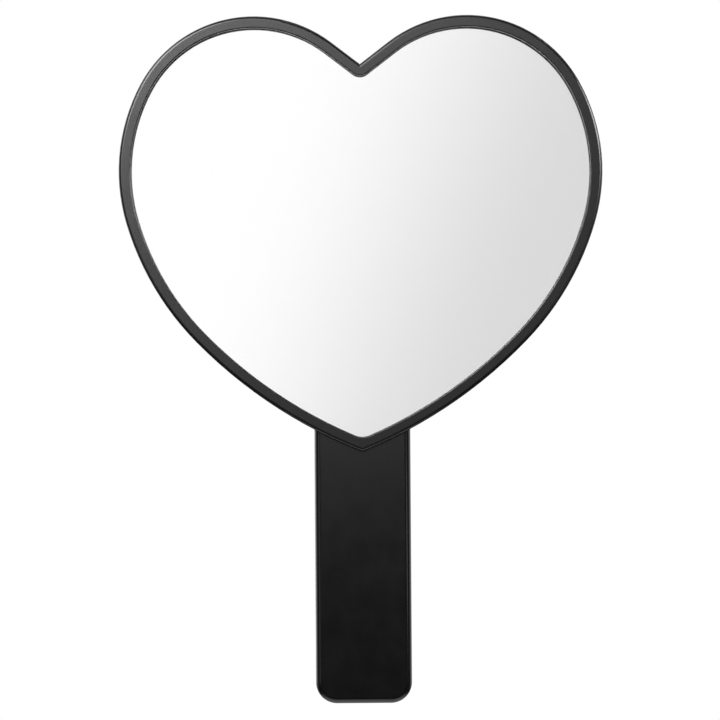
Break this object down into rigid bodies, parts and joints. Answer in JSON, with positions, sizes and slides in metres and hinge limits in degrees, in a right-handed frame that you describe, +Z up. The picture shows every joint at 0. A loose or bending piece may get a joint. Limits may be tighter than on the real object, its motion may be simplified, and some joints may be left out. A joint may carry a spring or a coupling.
{
  "type": "hand mirror",
  "caption": "Hand mirror with a heart-shaped glass in a slim raised black rim and a straight flat black handle with round lower corners.",
  "frame": {"origin": "centre of the grip: halfway along the part of the handle below the heart, on its middle line and halfway through its thickness", "axes": "+Z up the handle to the heart, -Y out of the glass, +X to the right as seen from the front"},
  "size_m": [0.1826, 0.011, 0.2599],
  "materials": {
    "rim_plastic": "semi-gloss black moulded plastic",
    "shell_plastic": "satin black moulded plastic",
    "float_glass": "clear polished float glass",
    "silvering": "bright silver film",
    "back_paint": "matt grey protective lacquer",
    "foam_tape": "white closed-cell foam, sticky on both faces"
  },
  "bodies": {
    "root": {"front_bezel": "rim_plastic", "back_shell": "shell_plastic", "handle_cover": "shell_plastic", "mirror_glass": "float_glass", "mirror_silvering": "silvering", "mirror_back_paint": "back_paint", "foam_tape_left_lobe": "foam_tape", "foam_tape_right_lobe": "foam_tape", "foam_tape_middle": "foam_tape", "foam_tape_lower": "foam_tape"}
  },
  "joints": []
}
